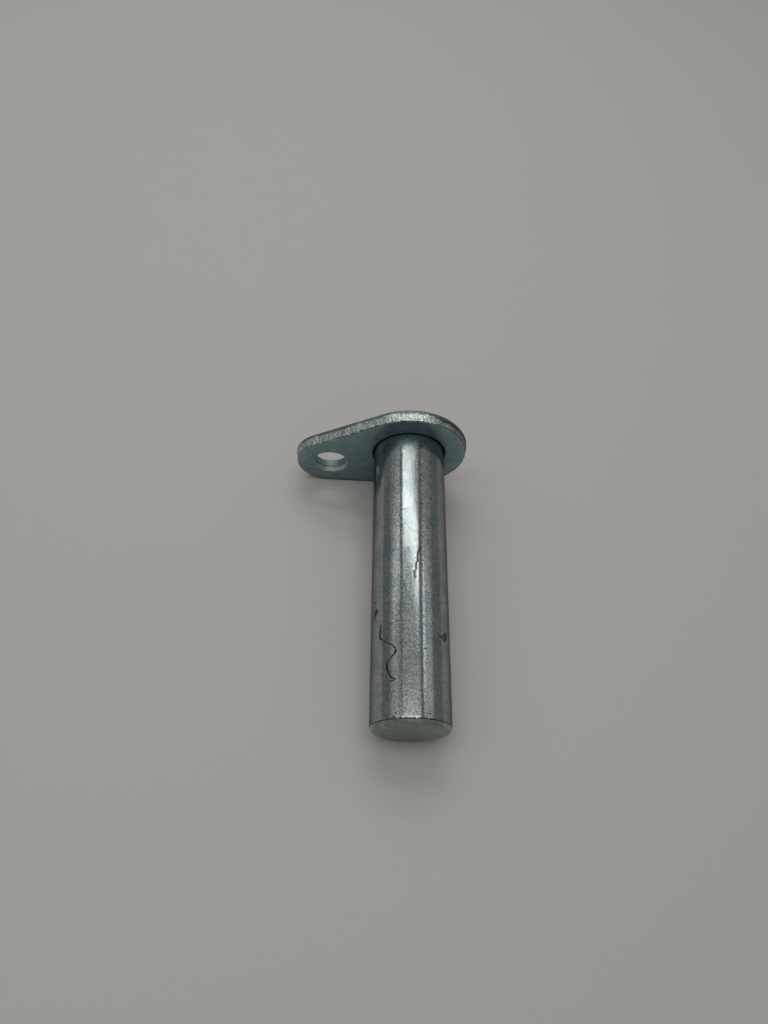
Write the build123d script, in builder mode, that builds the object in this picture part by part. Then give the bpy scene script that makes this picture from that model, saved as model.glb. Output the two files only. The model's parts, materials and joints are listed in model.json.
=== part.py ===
from build123d import *
from math import atan, atan2, cos, degrees, pi, sin, sqrt
import os

# Mounting pin with a flag head: a plain round bar, pushed through a teardrop plate and welded to it on
# the plate's outer side, all zinc plated. The bar is the pin itself. The plate is the flag: a bolt
# through its lug keeps the pin from turning and from walking out of its bores.
#
# The pin lies on the ground as it comes to rest: on the flag's level lower flank and on the rim of the
# bar's tip. Local X runs along that flank, local Y up the plate, and local Z down the bar to its tip.
# The origin is on the bar's axis, in the plane of the flag's seat face. Lengths are in millimetres.

# --- Bar ---------------------------------------------------------------------------------------------
shank_diameter = 25.4  # 1 inch bright bar
shank_reach = 100.5  # from the flag's seat face to the tip
tip_chamfer_depth = 1.0  # taken off the radius
tip_chamfer_length = 1.3  # taken along the bar
tail_shoulder = 0.2  # skimmed off the tail's radius, so that it enters the flag's hole
tail_stand_out = 4.5  # bar left proud of the flag's outer face, for the weld to climb
tail_chamfer = 0.5

# --- Flag: a teardrop, blanked and pierced in one stroke, so that every torn edge faces the tip --------
flag_thickness = 4.5
head_radius = 21.0  # round end, about the bar
lug_radius = 12.7  # round end, about the bolt hole
lug_pitch = 29.5  # bar axis to bolt hole
bolt_hole_diameter = 11.1
bolt_hole_breakout = 0.9  # how much wider the bolt hole's radius is at the seat face
tail_hole_clearance = 0.1  # on the radius, where the bar's hole is tightest
tail_hole_breakout = 0.6  # how much wider the bar hole's radius is at the seat face
pierce_fracture_depth = 1.5  # depth of both holes' torn cone, from the seat face
pierce_entry = 0.35  # broken edge where the bolt hole's punch went in, at the outer face
blank_burnish_depth = 1.35  # smooth band of the flag's edge, from the outer face
blank_fracture_inset = 0.5  # how far the torn part of that edge draws in by the seat face
blank_roll = 0.8  # rounding of the flag's edge at the outer face

# --- Weld: a fillet run round the bar's tail, in overlapping ripples -----------------------------------
puddle_radius = 4.2  # of each ripple
puddle_depth = 0.6  # how far a puddle's centre lies under both the faces that it joins
ripple_count = 28
tie_in_swell = 0.3  # extra radius of the last puddle, where the run closes on its start
tie_in_bearing = 118.0  # degrees round the bar from local X

# --- What follows from those sizes ---------------------------------------------------------------------
shank_radius = shank_diameter / 2
tail_radius = shank_radius - tail_shoulder
tail_hole_radius = tail_radius + tail_hole_clearance
bolt_hole_radius = bolt_hole_diameter / 2
blank_fracture_depth = flag_thickness - blank_burnish_depth

# The flag's lower flank is level, so the lug's centre is lower than the bar's axis by as much as the
# lug is narrower than the head.
lug_drop = head_radius - lug_radius
lug_run = sqrt(lug_pitch**2 - lug_drop**2)
lug_centre = (-lug_run, -lug_drop)

# At rest the bar leans down to its tip. It touches the ground with the ridge between the smooth and the
# torn band of the flag's edge, and with the corner where the tip's chamfer starts.
rest_span = blank_fracture_depth + shank_reach - tip_chamfer_length
rest_lean = atan2(head_radius - shank_radius, rest_span)

bar_direction = (0, -cos(rest_lean), -sin(rest_lean))
bar_axis = Axis((0, 0, 0), bar_direction)
seat_plane = Plane(origin=(0, 0, 0), x_dir=(1, 0, 0), z_dir=bar_direction)
outer_plane = seat_plane.offset(-flag_thickness)
tail_plane = outer_plane.offset(-tail_stand_out)


def cone_angle(breakout):
    """Full angle of the torn cone round a pierced hole, in degrees."""
    return 2 * degrees(atan(breakout / pierce_fracture_depth))


# --- Shank: cut from bar, skimmed at the tail, and chamfered at both ends ------------------------------
with BuildPart() as shank:
    with BuildSketch(tail_plane):
        Circle(tail_radius)
    extrude(amount=tail_stand_out + flag_thickness)
    with BuildSketch(seat_plane):
        Circle(shank_radius)
    extrude(amount=shank_reach)
    tip_face = shank.faces().sort_by(bar_axis)[-1]
    tail_face = shank.faces().sort_by(bar_axis)[0]
    chamfer(tip_face.edges(), tip_chamfer_depth, tip_chamfer_length, reference=tip_face)
    chamfer(tail_face.edges(), tail_chamfer)
shank.part.label = "shank"

# --- Flag plate ----------------------------------------------------------------------------------------
with BuildPart() as flag_plate:
    with BuildSketch(outer_plane):
        Circle(head_radius)
        with Locations(lug_centre):
            Circle(lug_radius)
        make_hull()
    extrude(amount=flag_thickness)
    seat_face = flag_plate.faces().sort_by(bar_axis)[-1]
    outer_face = flag_plate.faces().sort_by(bar_axis)[0]
    chamfer(seat_face.edges(), blank_fracture_inset, blank_fracture_depth, reference=seat_face)
    fillet(outer_face.edges(), blank_roll)

    with Locations(seat_plane):
        CounterSinkHole(
            tail_hole_radius,
            tail_hole_radius + tail_hole_breakout,
            counter_sink_angle=cone_angle(tail_hole_breakout),
        )
        with Locations(lug_centre):
            CounterSinkHole(
                bolt_hole_radius,
                bolt_hole_radius + bolt_hole_breakout,
                counter_sink_angle=cone_angle(bolt_hole_breakout),
            )
    punch_entry = flag_plate.faces().sort_by(bar_axis)[0].inner_wires().sort_by(SortBy.LENGTH)[0]
    chamfer(punch_entry.edges(), pierce_entry)
flag_plate.part.label = "flag_plate"

# --- Weld bead -----------------------------------------------------------------------------------------
bead_plane = outer_plane.offset(puddle_depth)
bead_path_radius = tail_radius - puddle_depth
bead_limit = puddle_radius + tie_in_swell
across_the_run = (90, 0, 180)  # turns each ball's poles into its neighbours

with BuildPart(bead_plane) as weld_bead:
    with PolarLocations(bead_path_radius, ripple_count):
        Sphere(puddle_radius, rotation=across_the_run)
    with PolarLocations(bead_path_radius, 1, start_angle=tie_in_bearing):
        Sphere(puddle_radius + tie_in_swell, rotation=across_the_run)
    with BuildSketch(outer_plane):
        Circle(bead_path_radius + bead_limit)
        Circle(tail_radius, mode=Mode.SUBTRACT)
    extrude(amount=-bead_limit, mode=Mode.INTERSECT)
weld_bead.part.label = "weld_bead"

os.makedirs("parts", exist_ok=True)
for piece in (shank, flag_plate, weld_bead):
    export_step(piece.part, f"parts/{piece.part.label}.step")
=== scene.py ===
import json
import math

import bmesh
import bpy
from mathutils import Matrix, Vector


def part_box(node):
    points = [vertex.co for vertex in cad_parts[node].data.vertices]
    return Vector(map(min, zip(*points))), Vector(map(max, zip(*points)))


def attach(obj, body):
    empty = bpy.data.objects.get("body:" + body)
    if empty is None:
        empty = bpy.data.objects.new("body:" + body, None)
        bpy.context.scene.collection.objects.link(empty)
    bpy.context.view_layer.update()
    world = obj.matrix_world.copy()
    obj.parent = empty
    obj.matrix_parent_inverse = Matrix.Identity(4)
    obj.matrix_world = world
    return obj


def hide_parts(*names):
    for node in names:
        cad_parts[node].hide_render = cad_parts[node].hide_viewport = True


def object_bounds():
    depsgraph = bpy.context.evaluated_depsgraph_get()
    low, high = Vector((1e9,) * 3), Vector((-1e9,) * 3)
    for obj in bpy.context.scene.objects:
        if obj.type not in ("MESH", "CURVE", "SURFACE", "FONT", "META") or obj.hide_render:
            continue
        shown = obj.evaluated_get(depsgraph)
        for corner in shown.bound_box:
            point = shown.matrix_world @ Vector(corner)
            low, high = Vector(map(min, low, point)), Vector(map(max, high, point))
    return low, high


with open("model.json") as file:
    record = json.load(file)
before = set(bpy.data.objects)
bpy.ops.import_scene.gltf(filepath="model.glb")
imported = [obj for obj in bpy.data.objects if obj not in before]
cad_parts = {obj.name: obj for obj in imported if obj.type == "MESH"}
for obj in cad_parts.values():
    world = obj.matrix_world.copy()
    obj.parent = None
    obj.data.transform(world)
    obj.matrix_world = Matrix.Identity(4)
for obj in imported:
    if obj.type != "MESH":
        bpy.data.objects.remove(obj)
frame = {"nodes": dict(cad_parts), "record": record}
bpy.ops.object.select_all(action="DESELECT")
cad_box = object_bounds()

# A zinc plated mounting pin, lying on a pale floor: a plain bar, welded through a blanked flag
# plate. Every piece is modelled in the pin's own frame, and laid down with it at the end. There, X
# runs along the flag's level flank, Y up the flag, and Z down the bar to its tip. The origin is on
# the bar's axis, in the plane of the flag's seat face. Lengths are in metres, and MM turns
# millimetres into them.

MM = 0.001
TOUCHING = 0.001 * MM  # places nearer than this are the same place
NEAR = 0.01 * MM  # room to tell two edges or bands apart
SQUARE = 0.9  # a face is square to the bar when its normal lies along the bar at least this much


# --- What the frame says -------------------------------------------------------------------------
def reach(node):
    """How far a CAD node goes along the bar, from its tail side to its tip side."""
    along = [down_the_bar.dot(vertex.co) for vertex in frame["nodes"][node].data.vertices]
    return min(along), max(along)


mounts = {mount["name"]: mount for mount in frame["record"]["mounts"]}
down_the_bar = Vector(mounts["shank"]["axis"]).normalized()
along_the_flank = Vector((1, 0, 0))
up_the_flag = down_the_bar.cross(along_the_flank)
pin_frame = Matrix((along_the_flank, up_the_flag, down_the_bar)).transposed().to_4x4()

tail_end, tip_end = reach("shank")
flag_outer, flag_seat = reach("flag_plate")
bar_radius = mounts["shank"]["dims"]["r_mm"] * MM
chamfer_start = mounts["shank"]["dims"]["length_mm"] * MM

flag_low, flag_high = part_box("flag_plate")
head_radius = flag_high.x
lug = pin_frame.inverted() @ Vector(mounts["retaining_bolt_hole"]["pos_m"])
lug.z = 0
lug_radius = lug.x - flag_low.x
bolt_radius = mounts["retaining_bolt_hole"]["dims"]["r_mm"] * MM

# Sizes that the frame doesn't name. Mouths are the radii of the torn cones at the seat face.
TIP_CHAMFER = 1.0 * MM
TAIL_SHOULDER = 0.2 * MM
TAIL_CHAMFER = 0.5 * MM
TAIL_HOLE = 12.6 * MM
TAIL_HOLE_MOUTH = 13.4 * MM
BOLT_HOLE_MOUTH = 6.45 * MM
HOLE_TEAR_DEPTH = 1.5 * MM
HOLE_LIP = 0.1 * MM  # the step out from a hole's smooth wall to its torn cone
HOLE_ENTRY = 0.35 * MM
SMOOTH_BAND = 1.35 * MM
TEAR_LEDGE = 0.02 * MM  # depth of the ledge between the rim's smooth and torn bands
TEAR_STEP = 0.12 * MM  # and its width
TEAR_INSET = 0.5 * MM  # how far the torn band draws in by the seat face
FLAG_ROLL = 0.8 * MM

tail_radius = bar_radius - TAIL_SHOULDER
tear_line = flag_outer + SMOOTH_BAND
hole_tear_line = flag_seat - HOLE_TEAR_DEPTH


def depth_in_flag(place):
    """How far a place lies inside the flag's outline, whichever face it is on."""
    toward_lug = lug.xy.normalized()
    along = place.xy.dot(toward_lug)
    across = abs(place.xy.cross(toward_lug))
    taper = (head_radius - lug_radius) / lug.length
    flank = math.sqrt(1 - taper * taper)
    run = flank * along - taper * across
    if run < 0:
        return head_radius - place.xy.length
    if run > flank * lug.length:
        return lug_radius - (place.xy - lug.xy).length
    return head_radius - flank * across - taper * along


# --- Modelling helpers ---------------------------------------------------------------------------
def begin(name):
    """Takes the primitive just added as a new piece, with its place in its mesh, in edit mode."""
    piece = bpy.context.object
    piece.name = piece.data.name = name
    bpy.ops.object.transform_apply(location=True, rotation=True, scale=True)
    bpy.ops.object.mode_set(mode="EDIT")
    return piece


def pick(piece, kind, test):
    """Selects the vertices, edges or faces of the piece in edit mode that pass a test."""
    bpy.ops.mesh.select_mode(type=kind)
    bpy.ops.mesh.select_all(action="DESELECT")
    shape = bmesh.from_edit_mesh(piece.data)
    parts = {"VERT": shape.verts, "EDGE": shape.edges, "FACE": shape.faces}[kind]
    for part in parts:
        if test(part):
            part.select_set(True)
    bmesh.update_edit_mesh(piece.data)


def faces_tip(face):
    return face.normal.z > SQUARE


def faces_tail(face):
    return face.normal.z < -SQUARE


def middle_of_picked(piece):
    """The middle of the picked vertices."""
    picked = [vertex.co for vertex in bmesh.from_edit_mesh(piece.data).verts if vertex.select]
    return sum(picked, Vector()) / len(picked)


def push(along_z, scale=1.0):
    """Extrudes the selected face along the bar, and scales the new one about the bar's axis."""
    bpy.ops.mesh.extrude_region_move(TRANSFORM_OT_translate={"value": (0, 0, along_z)})
    bpy.ops.transform.resize(value=(scale, scale, 1), center_override=(0, 0, 0))


def end_edit():
    """Merges doubles, turns all faces outwards, and leaves edit mode."""
    bpy.ops.mesh.select_all(action="SELECT")
    bpy.ops.mesh.remove_doubles(threshold=TOUCHING)
    bpy.ops.mesh.normals_make_consistent(inside=False)
    bpy.ops.object.mode_set(mode="OBJECT")


def apply_modifiers(piece):
    bpy.context.view_layer.objects.active = piece
    for modifier in list(piece.modifiers):
        bpy.ops.object.modifier_apply(modifier=modifier.name)


def fade(peak, distance, width):
    """A value that falls off evenly to both sides of its peak, by 1 over the width."""
    return peak - abs(distance) / width


def weigh(piece, name, weight):
    """Makes a vertex group whose weights come from each vertex's place."""
    group = piece.vertex_groups.new(name=name)
    for vertex in piece.data.vertices:
        value = weight(vertex.co)
        if value > 0:
            group.add([vertex.index], min(value, 1.0), "REPLACE")
    return name


def roughen(piece, depth, grain, stretch=1.0, group="", direction="NORMAL", inward=0.5):
    """Moves the surface in and out by a cloud of that grain, stretched along the bar. The more
    inward, the more of the surface sinks and the less of it rises."""
    bpy.ops.object.select_all(action="DESELECT")
    cloud = bpy.data.textures.new("grain", "CLOUDS")
    cloud.noise_scale = 1.0
    cloud.noise_depth = 2
    ruler = bpy.data.objects.new("grain_ruler", None)
    bpy.context.scene.collection.objects.link(ruler)
    ruler.scale = (grain, grain, grain * stretch)
    bpy.context.view_layer.update()
    wear = piece.modifiers.new("roughen", "DISPLACE")
    wear.texture = cloud
    wear.texture_coords = "OBJECT"
    wear.texture_coords_object = ruler
    wear.strength = depth
    wear.mid_level = inward
    wear.direction = direction
    wear.vertex_group = group
    apply_modifiers(piece)
    bpy.data.objects.remove(ruler)


def shift(piece, along_z, group):
    """Moves a weighted group of vertices along the bar."""
    move = piece.modifiers.new("shift", "DISPLACE")
    move.direction = "Z"
    move.mid_level = 0
    move.strength = along_z
    move.vertex_group = group
    apply_modifiers(piece)


def joined(first, second):
    """Two pieces as one."""
    bpy.ops.object.select_all(action="DESELECT")
    first.select_set(True)
    second.select_set(True)
    bpy.context.view_layer.objects.active = first
    bpy.ops.object.join()
    return first


def cut_away(piece, cutter):
    """Cuts a closed shape out of the piece, and throws the cutter away."""
    cut = piece.modifiers.new("cut", "BOOLEAN")
    cut.operation = "DIFFERENCE"
    cut.solver = "EXACT"
    cut.object = cutter
    apply_modifiers(piece)
    bpy.data.objects.remove(cutter)


def store_shade(piece, name, amount):
    """Keeps on each vertex how much of one kind of painted shade it holds, from its place."""
    layer = piece.data.attributes.new(name, "FLOAT", "POINT")
    for vertex, value in zip(piece.data.vertices, layer.data):
        value.value = max(0.0, min(1.0, amount(vertex.co)))


def plate_with(piece, finishes, choose):
    """Gives every face the finish that its place calls for."""
    piece.data.materials.clear()
    for finish in finishes:
        piece.data.materials.append(finish)
    for face in piece.data.polygons:
        face.material_index = choose(face)


def lay_down(piece, node, smooth_angle):
    """Turns a finished piece to where the pin lies, and lets it stand for its CAD node."""
    bpy.ops.object.select_all(action="DESELECT")
    piece.select_set(True)
    bpy.context.view_layer.objects.active = piece
    piece.matrix_world = pin_frame
    bpy.ops.object.transform_apply(location=True, rotation=True, scale=True)
    bpy.ops.object.shade_smooth_by_angle(angle=math.radians(smooth_angle))
    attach(piece, "root")
    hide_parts(node)
    piece.select_set(False)


# --- Shank: a turned bar, chamfered at both ends -------------------------------------------------
BAR_SIDES = 240
BAR_CUTS = 150
END_RINGS = 6
TIP_EDGE_ROUND = 0.12 * MM
TIP_EDGE_SEGMENTS = 3


def make_shank():
    bpy.ops.mesh.primitive_cylinder_add(
        vertices=BAR_SIDES,
        radius=bar_radius,
        depth=chamfer_start,
        end_fill_type="NGON",
        location=(0, 0, chamfer_start / 2),
    )
    shank = begin("shank_bar")

    pick(shank, "FACE", faces_tip)
    push(tip_end - chamfer_start, 1 - TIP_CHAMFER / bar_radius)
    for _ in range(END_RINGS):
        bpy.ops.mesh.inset(thickness=bar_radius / (END_RINGS + 1))

    pick(shank, "FACE", faces_tail)
    bpy.ops.mesh.inset(thickness=TAIL_SHOULDER)
    push(tail_end + TAIL_CHAMFER)
    push(-TAIL_CHAMFER, 1 - TAIL_CHAMFER / tail_radius)
    for _ in range(END_RINGS):
        bpy.ops.mesh.inset(thickness=tail_radius / (END_RINGS + 1))

    pick(shank, "EDGE", lambda edge: edge.calc_length() > chamfer_start / 2)
    bpy.ops.mesh.subdivide(number_cuts=BAR_CUTS)

    def on_tip_corner(edge):
        ends = [vertex.co for vertex in edge.verts]
        level = all(abs(co.z - ends[0].z) < TOUCHING for co in ends)
        outside = all(co.xy.length > bar_radius - TIP_CHAMFER - NEAR for co in ends)
        return level and outside and ends[0].z > chamfer_start - NEAR

    pick(shank, "EDGE", on_tip_corner)
    bpy.ops.mesh.bevel(offset=TIP_EDGE_ROUND, segments=TIP_EDGE_SEGMENTS, affect="EDGES")
    end_edit()
    roughen(shank, depth=0.008 * MM, grain=5 * MM, stretch=12)
    # Painted shade at the bar's root and along the tip chamfer's edges, kept on the vertices.
    store_shade(shank, "painted_shade", shade_on_shank)
    finish_shank(shank)
    return shank


def shade_on_shank(place):
    """Painted shade: dark lines in the gap where the bar leaves the flag, and along both edges of
    the tip's chamfer.
    """
    past_edge = place.z - chamfer_start
    if abs(place.z - flag_seat) < 2 * MM:
        return fade(0.85, place.z - flag_seat, 0.7 * MM)
    if place.z > tip_end - 0.15 * MM:
        return fade(0.62, bar_radius - TIP_CHAMFER - place.xy.length, 0.3 * MM)
    return fade(1.0, past_edge, 0.14 * MM if past_edge > 0 else 0.4 * MM)


# --- Flag plate: blanked and pierced -------------------------------------------------------------
RIM_POINTS = 900
RIM_SPACING = 0.15 * MM
ROLL_STEPS = 6
TEAR_STEPS = 18
BURR_STEPS = ((0.06, 0.05), (0.16, -0.15), (0.20, 0.10))  # inward and down the bar, in millimetres
IN_A_HOLE = 1.5 * MM  # what lies deeper than this in the outline belongs to a face or a hole
BURR_RING = TEAR_INSET + 0.12 * MM  # how deep in the outline the ring of painted shade round the burr lies
ROLL_LINE = flag_outer + 0.45 * MM  # where the line of painted shade round the rolled edge lies
CROWN_WIDTH = 4 * MM  # how far the head's bright crown goes to each side
HOLE_SIDES = 240
WALL_CUTS = 9
CONE_STEPS = 6


def blank_outline(edge_place):
    """The flag's outline as one filled face: a circle, its side by the lug drawn out to it."""
    bpy.ops.mesh.primitive_circle_add(
        vertices=RIM_POINTS, radius=head_radius, fill_type="NGON", location=(0, 0, edge_place)
    )
    flag = begin("flag_plate_blank")
    toward_lug = lug.xy.normalized()
    tangent = (head_radius - lug_radius) / lug.length
    pick(flag, "VERT", lambda vertex: vertex.co.xy.normalized().dot(toward_lug) > tangent)
    shrink = lug_radius / head_radius
    bpy.ops.transform.resize(value=(shrink, shrink, 1), center_override=(0, 0, 0))
    bpy.ops.transform.translate(value=lug)
    pick(flag, "EDGE", lambda edge: edge.calc_length() > lug.length / 2)
    bpy.ops.mesh.subdivide(number_cuts=int(lug.length / RIM_SPACING))
    return flag


def punched_hole(centre, radius, mouth, entry):
    """A cutter in the shape of a pierced hole: broken edge, smooth wall, torn cone."""
    spare = 1 * MM
    wall = hole_tear_line - flag_outer - entry
    bpy.ops.mesh.primitive_cylinder_add(
        vertices=HOLE_SIDES,
        radius=radius,
        depth=wall,
        end_fill_type="NGON",
        location=(0, 0, hole_tear_line - wall / 2),
    )
    cutter = begin("hole_cutter")
    pick(cutter, "EDGE", lambda edge: edge.calc_length() > wall / 2)
    bpy.ops.mesh.subdivide(number_cuts=WALL_CUTS)

    pick(cutter, "FACE", faces_tip)
    bpy.ops.mesh.extrude_region()
    lip = radius + HOLE_LIP
    bpy.ops.transform.resize(value=(lip / radius, lip / radius, 1), center_override=(0, 0, 0))
    for step in range(CONE_STEPS):
        before = lip + (mouth - lip) * step / CONE_STEPS
        after = lip + (mouth - lip) * (step + 1) / CONE_STEPS
        push(HOLE_TEAR_DEPTH / CONE_STEPS, after / before)
    push(spare)
    pick(cutter, "FACE", lambda face: faces_tail(face) and face.calc_area() > radius * radius)
    push(-entry, (radius + entry) / radius)
    push(-spare)
    end_edit()
    torn = weigh(cutter, "torn", lambda place: float(hole_tear_line < place.z < flag_seat))
    roughen(cutter, depth=0.12 * MM, grain=0.5 * MM, stretch=4, group=torn)
    cutter.location = centre
    bpy.context.view_layer.update()
    return cutter


def past_the_crown(place):
    """0 up to the +X edge of the head's crown, rising to 1 over the next 6 mm on its +X side."""
    return min(1, max(0, place.x - CROWN_WIDTH) / (6 * MM))


def shade_in_flag(place):
    """Painted shade: dark lines at the holes' tears, round the burr, along the rim's tear, and at
    the rolled edge. Most of the tail's hole is painted dark, for the shaded gap round the bar. A
    known
    fault: the burr's ring goes by depth alone, so it also reaches the outer face's rim and specks
    that whole face, where there is no burr."""
    depth = depth_in_flag(place)
    if place.xy.length < TAIL_HOLE_MOUTH - 0.05 * MM and place.z > hole_tear_line - NEAR:
        return 0.9
    if depth > IN_A_HOLE:
        return fade(0.68, place.z - hole_tear_line, 0.4 * MM)
    if depth > TEAR_INSET + 0.1 * MM:
        return fade(1.1, depth - BURR_RING, 0.27 * MM)
    burr = 0.95 - (flag_seat - place.z) / (0.7 * MM)
    tear = fade(0.5 + 0.45 * past_the_crown(place), place.z - tear_line, 0.5 * MM)
    roll = fade(0.66, place.z - ROLL_LINE, 0.6 * MM)
    return max(burr, tear, roll)


def rim_shade_on_flag(place):
    """Painted shade on the rim: none at its bright crown, most on the head's +X side, and a little
    along the -X flank.
    """
    if depth_in_flag(place) > 0.6 * MM:
        return 0.0
    along_flank = min(1, max(0, -CROWN_WIDTH - place.x) / (10 * MM))
    return max(past_the_crown(place), 0.35 * along_flank)


def make_flag():
    flag = blank_outline(tear_line)
    pick(flag, "FACE", lambda face: True)
    push(FLAG_ROLL - SMOOTH_BAND)
    bpy.ops.mesh.select_all(action="SELECT")
    bpy.ops.mesh.normals_make_consistent(inside=False)

    pick(flag, "FACE", faces_tail)
    for step in range(ROLL_STEPS):
        start = math.radians(90 * step / ROLL_STEPS)
        end = math.radians(90 * (step + 1) / ROLL_STEPS)
        bpy.ops.mesh.inset(
            thickness=FLAG_ROLL * (math.cos(start) - math.cos(end)),
            depth=FLAG_ROLL * (math.sin(end) - math.sin(start)),
        )

    tear_depth = flag_seat - tear_line
    pick(flag, "FACE", faces_tip)
    bpy.ops.mesh.inset(thickness=TEAR_STEP, depth=TEAR_LEDGE)
    for step in range(TEAR_STEPS):
        bpy.ops.mesh.inset(
            thickness=(TEAR_INSET - TEAR_STEP) / TEAR_STEPS,
            depth=(tear_depth - TEAR_LEDGE) / TEAR_STEPS,
        )
    for inward, down in BURR_STEPS:
        bpy.ops.mesh.inset(thickness=inward * MM, depth=down * MM)
    end_edit()
    tail_hole = punched_hole((0, 0, 0), TAIL_HOLE, TAIL_HOLE_MOUTH, HOLE_ENTRY)
    bolt_hole = punched_hole(lug, bolt_radius, BOLT_HOLE_MOUTH, HOLE_ENTRY)
    cut_away(flag, joined(tail_hole, bolt_hole))

    finish_flag(flag)
    # Painted shade in the flag's creases, holes and rim lines, kept on the vertices.
    store_shade(flag, "painted_shade", shade_in_flag)
    # Painted shade over the rim, away from its bright crown, kept on the vertices.
    store_shade(flag, "rim_shade", rim_shade_on_flag)

    def on_rim(place):
        on_edge = depth_in_flag(place) < TEAR_INSET + 0.2 * MM
        return float(on_edge and place.z > tear_line + 0.1 * MM)

    def on_tear_edge(place):
        return fade(1, place.z - tear_line, 0.45 * MM) if depth_in_flag(place) < 1 * MM else 0.0

    def near_tear(place):
        if depth_in_flag(place) > TEAR_INSET:
            return 0.0
        return past_the_crown(place) * fade(1, place.z - tear_line, 1.8 * MM)

    def on_hole_edge(place):
        off_wall = (place.xy - lug.xy).length - bolt_radius
        return fade(1, place.z - hole_tear_line, 0.9 * MM) if off_wall < 0.3 * MM else 0.0

    torn = weigh(flag, "torn", on_rim)
    tear_edge = weigh(flag, "tear_edge", on_tear_edge)
    hole_edge = weigh(flag, "hole_edge", on_hole_edge)
    shift(flag, 0.8 * MM, weigh(flag, "near_tear", near_tear))
    roughen(flag, depth=0.9 * MM, grain=1.3 * MM, group=tear_edge, direction="Z")
    roughen(flag, depth=1.1 * MM, grain=2.8 * MM, group=hole_edge, direction="Z")
    roughen(flag, depth=0.34 * MM, grain=0.9 * MM, group=torn, inward=0.62)
    roughen(flag, depth=0.3 * MM, grain=0.5 * MM, group=torn, inward=0.62)
    return flag


# --- Weld bead: overlapping puddles round the tail -----------------------------------------------
PUDDLES = 28
PUDDLE_RADIUS = 4.2 * MM
PUDDLE_SINK = 0.6 * MM
PUDDLE_SIDES = 40
PUDDLE_WANDER = 0.016  # how much each puddle's size differs from the last one's
WANDER_TURN = 2.3  # radians of that wander's wave from puddle to puddle
WELD_VOXEL = 0.17 * MM
BORE_SIDES = 200
BORE_LENGTH = 20 * MM
BORE_TIGHTNESS = 0.02 * MM


def tail_bore():
    """A cutter a hair thinner than the tail, and longer than the bead."""
    bpy.ops.mesh.primitive_cylinder_add(
        vertices=BORE_SIDES,
        radius=tail_radius - BORE_TIGHTNESS,
        depth=BORE_LENGTH,
        location=(0, 0, flag_outer),
    )
    bore = begin("tail_bore")
    end_edit()
    return bore


def make_weld():
    path_radius = tail_radius - PUDDLE_SINK
    bpy.ops.mesh.primitive_uv_sphere_add(
        segments=PUDDLE_SIDES,
        ring_count=PUDDLE_SIDES // 2,
        radius=PUDDLE_RADIUS,
        location=(path_radius, 0, flag_outer + PUDDLE_SINK),
    )
    weld = begin("weld_bead_run")
    for number in range(PUDDLES - 1):
        bpy.ops.mesh.duplicate()
        bpy.ops.transform.rotate(
            value=2 * math.pi / PUDDLES, orient_axis="Z", center_override=(0, 0, 0)
        )
        wander = 1 + PUDDLE_WANDER * math.sin(WANDER_TURN * number)
        bpy.ops.transform.resize(
            value=(wander, wander, wander), center_override=middle_of_picked(weld)
        )
    bpy.ops.object.mode_set(mode="OBJECT")

    fuse = weld.modifiers.new("fuse", "REMESH")
    fuse.mode = "VOXEL"
    fuse.voxel_size = WELD_VOXEL
    apply_modifiers(weld)
    bpy.ops.object.mode_set(mode="EDIT")
    bpy.ops.mesh.select_all(action="SELECT")
    bpy.ops.mesh.bisect(
        plane_co=(0, 0, flag_outer), plane_no=(0, 0, 1), use_fill=True, clear_outer=True
    )
    bpy.ops.object.mode_set(mode="OBJECT")
    cut_away(weld, tail_bore())
    roughen(weld, depth=0.16 * MM, grain=1.1 * MM, inward=0.7)
    finish_weld(weld)
    return weld


# --- Materials -----------------------------------------------------------------------------------
COLOUR_A, COLOUR_B, MIXED = 6, 7, 2  # a Mix node's colour sockets, which share their names
# The near black of the ink marks and of the painted shade in creases, and the roughness where
# painted shade lies.
INK_AND_SHADE = "#15181A"
SHADE_ROUGHNESS = 0.75
LINE_CORE, LINE_EDGE = 0.3, 0.7  # where a drawn line starts to fade and is gone, in its widths
SPOT_CORE, SPOT_EDGE = 0.6, 1.2  # and a spot, in its radii


def linear(hex_colour):
    """An sRGB hex colour as linear values."""
    parts = [int(hex_colour[at : at + 2], 16) / 255 for at in (1, 3, 5)]
    return [p / 12.92 if p <= 0.04045 else ((p + 0.055) / 1.055) ** 2.4 for p in parts] + [1.0]


def add(tree, kind, links=None, **settings):
    """Adds a node with its settings, and with values or links for its inputs."""
    made = tree.nodes.new(kind)
    for name, value in settings.items():
        setattr(made, name, value)
    for name, value in (links or {}).items():
        if isinstance(value, bpy.types.NodeSocket):
            tree.links.new(value, made.inputs[name])
        else:
            made.inputs[name].default_value = value
    return made


def new_finish(name):
    """A new material, and its patterns' coordinates: the pin's own frame, in millimetres."""
    material = bpy.data.materials.new(name)
    material.use_nodes = True
    tree = material.node_tree
    tree.nodes.clear()
    turned = add(
        tree,
        "ShaderNodeMapping",
        {
            "Vector": add(tree, "ShaderNodeTexCoord").outputs["Object"],
            "Rotation": pin_frame.inverted().to_euler(),
            "Scale": (1 / MM, 1 / MM, 1 / MM),
        },
    )
    return material, tree, turned.outputs["Vector"]


def clouded(tree, place, light, dark, size, detail, spread):
    """A colour that drifts between two others, in clouds of that size in millimetres."""
    pattern = {"Vector": place, "Scale": 1 / size, "Detail": detail}
    clouds = add(tree, "ShaderNodeTexNoise", pattern)
    cloudy = add(
        tree,
        "ShaderNodeMapRange",
        {"Value": clouds.outputs["Fac"], "From Min": 0.5 - spread, "From Max": 0.5 + spread},
    )
    return add(
        tree,
        "ShaderNodeMix",
        {"Factor": cloudy.outputs["Result"], COLOUR_A: linear(light), COLOUR_B: linear(dark)},
        data_type="RGBA",
    ).outputs[MIXED]


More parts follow.
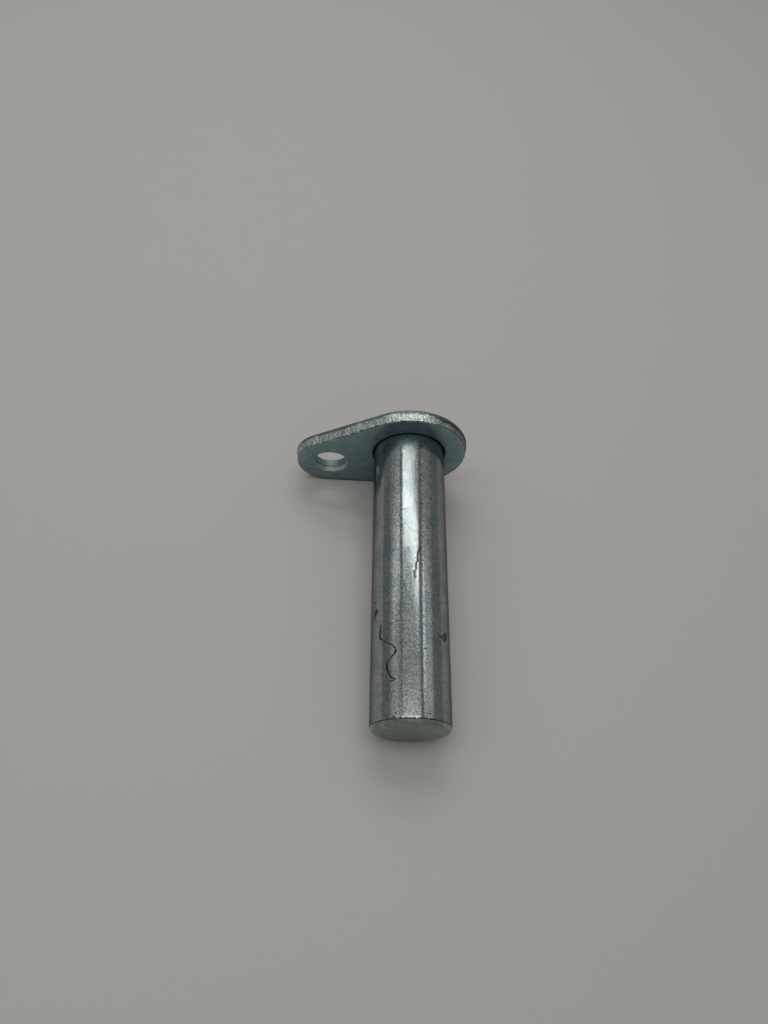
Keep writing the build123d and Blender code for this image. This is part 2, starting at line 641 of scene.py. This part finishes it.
def specked(tree, place, colour, dark, size, detail, thin, thick, strength):
    """A colour with darker specks of that size in millimetres. They begin where the noise passes
    thin, and reach their strength where it passes thick."""
    pattern = {"Vector": place, "Scale": 1 / size, "Detail": detail}
    specks = add(tree, "ShaderNodeTexNoise", pattern)
    shown = add(
        tree,
        "ShaderNodeMapRange",
        {"Value": specks.outputs["Fac"], "From Min": thin, "From Max": thick, "To Max": strength},
    )
    return add(
        tree,
        "ShaderNodeMix",
        {"Factor": shown.outputs["Result"], COLOUR_A: colour, COLOUR_B: linear(dark)},
        data_type="RGBA",
    ).outputs[MIXED]


def close_zinc(tree, colour, darkening, rough, skin, more=None):
    """Zinc, as bare metal but for the ink marks and the painted shade that cover it, which are
    dark and no metal.
    """
    darkened = add(
        tree,
        "ShaderNodeMix",
        {"Factor": darkening, COLOUR_A: colour, COLOUR_B: linear(INK_AND_SHADE)},
        data_type="RGBA",
    )
    bare = add(tree, "ShaderNodeMath", {0: 1.0, 1: darkening}, operation="SUBTRACT")
    shader = add(
        tree,
        "ShaderNodeBsdfPrincipled",
        {
            "Base Color": darkened.outputs[MIXED],
            "Metallic": bare.outputs["Value"],
            "Roughness": rough.outputs["Result"],
            "Normal": skin.outputs["Normal"],
            **(more or {}),
        },
    )
    add(tree, "ShaderNodeOutputMaterial", {"Surface": shader.outputs["BSDF"]})


def wandering_line(tree, run, across, points, width):
    """A thin line drawn by hand. Its points give how far across it lies at places along its run,
    and the result is 1 on the line and 0 off it."""
    first, last = points[0][0], points[-1][0]
    low = min(point[1] for point in points)
    high = max(point[1] for point in points)
    along = add(tree, "ShaderNodeMapRange", {"Value": run, "From Min": first, "From Max": last})
    path = add(tree, "ShaderNodeFloatCurve", {"Value": along.outputs["Result"]})
    line = path.mapping.curves[0]
    line.points[0].location = (0, (points[0][1] - low) / (high - low))
    line.points[1].location = (1, (points[-1][1] - low) / (high - low))
    for place, offset in points[1:-1]:
        line.points.new((place - first) / (last - first), (offset - low) / (high - low))
    path.mapping.update()
    target = add(
        tree, "ShaderNodeMapRange", {"Value": path.outputs["Value"], "To Min": low, "To Max": high}
    )
    miss = add(
        tree, "ShaderNodeMath", {0: across, 1: target.outputs["Result"]}, operation="SUBTRACT"
    )
    gap = add(tree, "ShaderNodeMath", {0: miss.outputs["Value"]}, operation="ABSOLUTE")
    drawn = add(
        tree,
        "ShaderNodeMapRange",
        {
            "Value": gap.outputs["Value"],
            "From Min": width * LINE_CORE,
            "From Max": width * LINE_EDGE,
            "To Min": 1,
            "To Max": 0,
        },
    )
    begun = add(tree, "ShaderNodeMath", {0: run, 1: first}, operation="GREATER_THAN")
    ended = add(tree, "ShaderNodeMath", {0: run, 1: last}, operation="LESS_THAN")
    within = add(
        tree,
        "ShaderNodeMath",
        {0: begun.outputs["Value"], 1: ended.outputs["Value"]},
        operation="MULTIPLY",
    )
    return add(
        tree,
        "ShaderNodeMath",
        {0: drawn.outputs["Result"], 1: within.outputs["Value"]},
        operation="MULTIPLY",
    ).outputs["Value"]


# Marks on the bar, in millimetres: round it from its top towards +X, and down it from the seat
# face. Each point of a line starts with the direction in which that line runs.
LONG_SQUIGGLE = (  # down the bar, then round it
    (69, -11.5),
    (73, -12),
    (75, -10),
    (77.5, -6.5),
    (78.5, -6),
    (80.5, -7.5),
    (83, -9),
    (85, -8.5),
    (87.5, -6),
)
SQUIGGLE_END = ((-8, 88), (-6, 87.5))
FAINT_ARC = ((-11.5, 72), (-9, 70.5), (-6.5, 69.5), (-3.5, 69))
FAINTER_ARC = ((4, 69.5), (6, 70.5), (7.5, 71.5))
SHORT_HOOK = ((7.5, 72), (9, 73), (10.5, 72.5), (12.5, 71.5))
HOOK_TAIL = ((72, 12), (73, 12), (74, 11))  # down the bar, then round it
SURFACE_CRACK = (  # down the bar, then round it
    (43.5, 2),
    (45, 1.5),
    (47.5, 1),
    (48.5, 1),
    (50.5, 0.5),
    (52, 0.5),
    (53, 0),
    (55, 0.5),
)
LIGHT_STROKE = ((-10.5, 91), (-8.5, 91.5), (-7, 92))
SPOTS = (  # round the bar, down it, radius
    (-14.5, 64.5, 1.3),
    (-15, 65.5, 0.8),
    (-15.5, 66.5, 0.6),
    (-15, 61, 0.5),
    (-15, 62.5, 0.5),
    (-17.5, 78.5, 0.6),
    (-18.5, 82, 0.6),
    (15.5, 74.5, 0.6),
    (11, 73.5, 1.0),
    (11.5, 71.5, 0.8),
    (8, 72.5, 0.5),
    (10.5, 70.5, 0.3),
    (3, 78, 0.35),
    (-6, 97.5, 0.4),
    (-6.5, 98.5, 0.3),
    (3.5, 97.5, 0.2),
    (4.5, 97.5, 0.25),
    (12, 96, 0.3),
)


WOBBLE = 0.7  # how far a mark's line strays, in millimetres


def marks_on_bar(tree, place):
    """Dark marks in the plating: a long squiggle, a hook, a crack, fainter strokes, and spots."""
    jitter = add(tree, "ShaderNodeTexNoise", {"Vector": place, "Scale": 1 / 0.9, "Detail": 1.0})
    shifted = add(
        tree,
        "ShaderNodeVectorMath",
        {0: jitter.outputs["Color"], 1: (0.5, 0.5, 0.5)},
        operation="SUBTRACT",
    )
    nudge = add(
        tree,
        "ShaderNodeVectorMath",
        {0: shifted.outputs["Vector"], "Scale": WOBBLE},
        operation="SCALE",
    )
    moved = add(
        tree, "ShaderNodeVectorMath", {0: place, 1: nudge.outputs["Vector"]}, operation="ADD"
    )
    parts = add(tree, "ShaderNodeSeparateXYZ", {"Vector": moved.outputs["Vector"]}).outputs
    angle = add(tree, "ShaderNodeMath", {0: parts["X"], 1: parts["Y"]}, operation="ARCTAN2")
    around = add(
        tree,
        "ShaderNodeMath",
        {0: angle.outputs["Value"], 1: bar_radius / MM},
        operation="MULTIPLY",
    ).outputs["Value"]
    down = parts["Z"]
    drawn = [
        (wandering_line(tree, down, around, LONG_SQUIGGLE, 0.75), 1.0),
        (wandering_line(tree, around, down, SQUIGGLE_END, 0.6), 0.8),
        (wandering_line(tree, around, down, FAINT_ARC, 0.35), 0.5),
        (wandering_line(tree, around, down, FAINTER_ARC, 0.3), 0.3),
        (wandering_line(tree, around, down, SHORT_HOOK, 0.8), 1.0),
        (wandering_line(tree, down, around, HOOK_TAIL, 1.0), 1.0),
        (wandering_line(tree, down, around, SURFACE_CRACK, 0.6), 0.85),
        (wandering_line(tree, around, down, LIGHT_STROKE, 0.35), 0.5),
    ]
    chart = add(tree, "ShaderNodeCombineXYZ", {"X": around, "Y": down}).outputs["Vector"]
    for middle_round, middle_down, size in SPOTS:
        gap = add(
            tree,
            "ShaderNodeVectorMath",
            {0: chart, 1: (middle_round, middle_down, 0)},
            operation="DISTANCE",
        )
        spot = add(
            tree,
            "ShaderNodeMapRange",
            {
                "Value": gap.outputs["Value"],
                "From Min": size * SPOT_CORE,
                "From Max": size * SPOT_EDGE,
                "To Min": 1,
                "To Max": 0,
            },
        )
        drawn.append((spot.outputs["Result"], 1.0))
    darkening = None
    for mark, strength in drawn:
        faded = add(tree, "ShaderNodeMath", {0: mark, 1: strength}, operation="MULTIPLY")
        if darkening is not None:
            links = {0: darkening, 1: faded.outputs["Value"]}
            faded = add(tree, "ShaderNodeMath", links, operation="MAXIMUM")
        darkening = faded.outputs["Value"]
    broken = add(tree, "ShaderNodeTexNoise", {"Vector": place, "Scale": 1 / 0.7, "Detail": 1.0})
    kept = add(
        tree,
        "ShaderNodeMapRange",
        {"Value": broken.outputs["Fac"], "From Min": 0.3, "From Max": 0.42, "To Min": 0.35},
    )
    return add(
        tree, "ShaderNodeMath", {0: darkening, 1: kept.outputs["Result"]}, operation="MULTIPLY"
    ).outputs["Value"]


def shade_in_hollows(tree, place):
    """Painted shade where the vertices' shade attribute is deep, ragged at its edges."""
    ragged = add(tree, "ShaderNodeTexNoise", {"Vector": place, "Scale": 1 / 0.8, "Detail": 2.0})
    painted_shade = add(tree, "ShaderNodeAttribute", attribute_name="painted_shade")
    deep = add(
        tree,
        "ShaderNodeMath",
        {0: painted_shade.outputs["Fac"], 1: ragged.outputs["Fac"]},
        operation="MULTIPLY",
    )
    return add(
        tree,
        "ShaderNodeMapRange",
        {"Value": deep.outputs["Value"], "From Min": 0.2, "From Max": 0.36},
    ).outputs["Result"]


def zinc_on_turned_bar():
    """Zinc electroplate, bright and clear passivated, over a turned and ground bar. The fine marks
    run round the bar, so a lamp's reflection stays sharp across the bar and smears along it. The
    plating's own grain sparkles, and faint lines run down the bar."""
    material, tree, place = new_finish("zinc_on_turned_bar")
    colour = clouded(tree, place, "#A2AFAF", "#B7BDBA", size=6, detail=3.0, spread=0.15)
    colour = specked(
        tree, place, colour, "#6C787C", size=0.55, detail=1.0, thin=0.51, thick=0.6, strength=0.56
    )
    marks = marks_on_bar(tree, place)
    # Painted shade from the creases darkens the bar along with its marks.
    shade_mask = shade_in_hollows(tree, place)
    darkening = add(tree, "ShaderNodeMath", {0: marks, 1: shade_mask}, operation="MAXIMUM").outputs["Value"]
    rough = add(
        tree,
        "ShaderNodeMapRange",
        {"Value": darkening, "From Min": 0.5, "To Min": 0.1, "To Max": 0.6},
    )
    squeezed = add(
        tree, "ShaderNodeMapping", {"Vector": place, "Scale": (1 / 0.9, 1 / 0.9, 1 / 30)}
    )
    lines = add(
        tree,
        "ShaderNodeTexNoise",
        {"Vector": squeezed.outputs["Vector"], "Scale": 1.0, "Detail": 3.0},
    )
    skin = add(tree, "ShaderNodeBump", {"Height": lines.outputs["Fac"], "Distance": 0.008 * MM})
    ridged = add(tree, "ShaderNodeMapping", {"Vector": place, "Scale": (1.8, 1.8, 3.2)})
    grain = add(
        tree,
        "ShaderNodeTexNoise",
        {"Vector": ridged.outputs["Vector"], "Scale": 1.0, "Detail": 2.0},
    )
    skin = add(
        tree,
        "ShaderNodeBump",
        {
            "Height": grain.outputs["Fac"],
            "Distance": 0.023 * MM,
            "Normal": skin.outputs["Normal"],
        },
    )
    axis = add(
        tree,
        "ShaderNodeVectorTransform",
        {"Vector": down_the_bar},
        vector_type="VECTOR",
        convert_from="OBJECT",
        convert_to="WORLD",
    )
    smear = {
        "Anisotropic": 0.9,
        "Specular Tint": linear("#A89DA2"),
        "Tangent": axis.outputs["Vector"],
    }
    close_zinc(tree, colour, darkening, rough, skin, smear)
    return material


def zinc_on_end(name, light, dark, roughness):
    """Zinc over the sawn end, its chamfer and the weld: even, with a greenish passivate, and a
    broken line of painted shade where the chamfer meets the bar."""
    material, tree, place = new_finish(name)
    colour = clouded(tree, place, light, dark, size=4, detail=5.0, spread=0.12)
    # Painted shade in the creases, such as the chamfer's edge.
    shade_mask = shade_in_hollows(tree, place)
    rough = add(
        tree,
        "ShaderNodeMapRange",
        {"Value": shade_mask, "To Min": roughness, "To Max": SHADE_ROUGHNESS},
    )
    grain = add(tree, "ShaderNodeTexNoise", {"Vector": place, "Scale": 1 / 0.7, "Detail": 3.0})
    skin = add(tree, "ShaderNodeBump", {"Height": grain.outputs["Fac"], "Distance": 0.06 * MM})
    close_zinc(tree, colour, shade_mask, rough, skin)
    return material


def zinc_on_plate(name, light, dark, roughness, grain_depth, drag):
    """Zinc electroplate with a blue passivate on hot rolled plate: satin, clouded and faintly
    grained, with painted shade in its creases and over the rim away from its crown. Where the
    punch dragged past, the grain is drawn out along the bar."""
    material, tree, place = new_finish(name)
    drawn = add(tree, "ShaderNodeMapping", {"Vector": place, "Scale": (1, 1, 1 / drag)})
    dragged = drawn.outputs["Vector"]
    colour = clouded(tree, place, light, dark, size=5, detail=5.0, spread=0.15)
    colour = specked(
        tree,
        dragged,
        colour,
        "#5E6D71",
        size=1.1,
        detail=4.0,
        thin=0.48,
        thick=0.68,
        strength=0.45,
    )
    # Painted shade over the rim away from the crown, mixed in as a dark grey.
    rim_shade = add(tree, "ShaderNodeAttribute", attribute_name="rim_shade")
    rim_shaded = add(tree, "ShaderNodeMapRange", {"Value": rim_shade.outputs["Fac"], "To Max": 0.55})
    colour = add(
        tree,
        "ShaderNodeMix",
        {"Factor": rim_shaded.outputs["Result"], COLOUR_A: colour, COLOUR_B: linear("#59625F")},
        data_type="RGBA",
    ).outputs[MIXED]
    # Painted shade in the creases and holes.
    shade_mask = shade_in_hollows(tree, place)
    any_shade = add(
        tree, "ShaderNodeMath", {0: shade_mask, 1: rim_shaded.outputs["Result"]}, operation="MAXIMUM"
    )
    rough = add(
        tree,
        "ShaderNodeMapRange",
        {"Value": any_shade.outputs["Value"], "To Min": roughness, "To Max": SHADE_ROUGHNESS},
    )
    grain = add(tree, "ShaderNodeTexNoise", {"Vector": dragged, "Scale": 1 / 0.8, "Detail": 3.0})
    skin = add(
        tree, "ShaderNodeBump", {"Height": grain.outputs["Fac"], "Distance": grain_depth * MM}
    )
    close_zinc(tree, colour, shade_mask, rough, skin)
    return material


# --- Which finish each face has, and putting the pin together ------------------------------------
def finish_shank(shank):
    bar, chamfer, end = range(3)

    def choose(face):
        if face.center.z < flag_seat or abs(face.normal.z) > SQUARE:
            return end
        return chamfer if face.center.z > chamfer_start + 0.1 * MM else bar

    finishes = [
        zinc_on_turned_bar(),
        zinc_on_end("zinc_on_turned_chamfer", "#AEB5B4", "#88938F", roughness=0.3),
        zinc_on_end("zinc_on_sawn_end", "#98A696", "#82958B", roughness=0.33),
    ]
    plate_with(shank, finishes, choose)


# Each finish of the flag: its name, light and dark colours, roughness, grain depth in millimetres,
# and how many times longer than wide its grain is drawn.
FLAG_FINISHES = (
    ("zinc_on_rolled_face", "#8BA4A8", "#7C969D", 0.33, 0.05, 1),
    ("zinc_on_sheared_band", "#98A8A6", "#738584", 0.5, 0.2, 5),
    ("zinc_on_torn_band", "#D9E4DF", "#B7C3BE", 0.25, 0.24, 1.2),
    ("zinc_in_torn_cone", "#D3DFDB", "#B2C2BE", 0.58, 0.18, 4),
)


def finish_flag(flag):
    face_skin, smooth_band, torn_band, torn_cone = range(4)

    def choose(face):
        depth = depth_in_flag(face.center)
        if depth > 1.0 * MM and abs(face.normal.z) > 0.95:
            return face_skin
        if depth > IN_A_HOLE:
            return smooth_band if face.center.z < hole_tear_line else torn_cone
        return smooth_band if face.center.z < tear_line else torn_band

    plate_with(flag, [zinc_on_plate(*finish) for finish in FLAG_FINISHES], choose)


def finish_weld(weld):
    weld_skin = zinc_on_end("zinc_on_weld", "#9AA8A8", "#8A9898", roughness=0.32)
    plate_with(weld, [weld_skin], lambda face: 0)


lay_down(make_shank(), "shank", smooth_angle=25)
lay_down(make_flag(), "flag_plate", smooth_angle=30)
lay_down(make_weld(), "weld_bead", smooth_angle=40)

# --- Floor, lamps and camera ---------------------------------------------------------------------
FLOOR_SIZE = 4.0


def make_floor():
    bpy.ops.object.select_all(action="DESELECT")
    bpy.ops.mesh.primitive_plane_add(size=FLOOR_SIZE, location=(0, 0, cad_box[0].z))
    floor = bpy.context.object
    floor.name = "floor"
    material, tree, _ = new_finish("painted_board")
    shader = add(
        tree, "ShaderNodeBsdfPrincipled", {"Base Color": linear("#CBC9C4"), "Roughness": 0.6}
    )
    add(tree, "ShaderNodeOutputMaterial", {"Surface": shader.outputs["BSDF"]})
    floor.data.materials.append(material)


LAMPS = (
    # What it is, its sides towards -X and +X, those towards -Y and +Y, its brightness, its turn.
    ("ceiling", (-28, 22), (-20, 60), 0.17, 0),
    ("ceiling_past_the_tube", (-26.5, 10), (27.5, 41), 0.38, 0),
    ("tube", (-26.5, 19), (24.3, 26.1), 8.3, -12),
    ("tube_past_the_gap", (-56, -34), (28.5, 31), 1.2, -8),
    ("second_tube", (-22, 18), (38.5, 41), 8.0, -6),
    ("front_of_the_ceiling", (-45, 21), (-12, 3), 1.9, 0),
    ("far_front", (-55, 55), (-75, -50), 0.15, 0),
    ("left_wall", (-66, -34), (-20, 60), 0.1, 0),
    ("left_wall_lamp", (-60, -34), (24, 41), 0.2, 0),
    ("left_wall_window", (-58, -41), (3, 16), 0.3, 0),
    ("right_wall", (29, 61), (-20, 50), 0.08, 0),
    ("right_wall_panel", (36, 56), (-10, 33), 0.24, 0),
    ("right_wall_strip", (30, 36), (11, 25), 1.0, 0),
)
ROOM_LIGHT = 0.18
LAMP_HEIGHT = 0.8
LAMP_STEP = 0.01  # how much lower each lamp hangs, to hide the one before where they cross


def make_lamp(name, rolls, pitches, radiance, turn, height):
    """A soft rectangular lamp overhead. Its rolls and pitches are where its sides stand as seen
    from the middle of the bar, in degrees from straight up, towards +X and towards +Y."""
    left, right = [height * math.tan(math.radians(angle)) for angle in rolls]
    near, far = [height * math.tan(math.radians(angle)) for angle in pitches]
    light = bpy.data.lights.new(name, "AREA")
    light.shape = "RECTANGLE"
    light.size = right - left
    light.size_y = far - near
    light.energy = radiance * math.pi * light.size * light.size_y
    holder = bpy.data.objects.new(name, light)
    middle_of_bar = -tip_end / 2
    holder.location = ((left + right) / 2, (near + far) / 2 + middle_of_bar, height)
    holder.rotation_euler = (0, 0, math.radians(turn))
    bpy.context.scene.collection.objects.link(holder)


def make_light():
    world = bpy.data.worlds.new("room")
    world.use_nodes = True
    world.node_tree.nodes["Background"].inputs["Color"].default_value = linear("#FFFFFF")
    world.node_tree.nodes["Background"].inputs["Strength"].default_value = ROOM_LIGHT
    bpy.context.scene.world = world
    for number, (name, rolls, pitches, radiance, turn) in enumerate(LAMPS):
        make_lamp(name, rolls, pitches, radiance, turn, LAMP_HEIGHT - number * LAMP_STEP)


LENS = 27.04
SENSOR = 36.0
CAMERA_PLACE = Vector((-28.75, -173.3, 220.5)) * MM
CAMERA_TURN = (33.63, -5.206, 0.149)  # degrees


def make_camera():
    """A phone's wide lens, about 27 mm equivalent, above the tip and looking down the bar."""
    camera = bpy.data.objects.new("camera", bpy.data.cameras.new("camera"))
    camera.data.lens = LENS
    camera.data.sensor_width = SENSOR
    camera.location = CAMERA_PLACE
    camera.rotation_euler = [math.radians(angle) for angle in CAMERA_TURN]
    bpy.context.scene.collection.objects.link(camera)
    bpy.context.scene.camera = camera


make_floor()
make_light()
make_camera()
bpy.context.scene.view_settings.view_transform = "Standard"
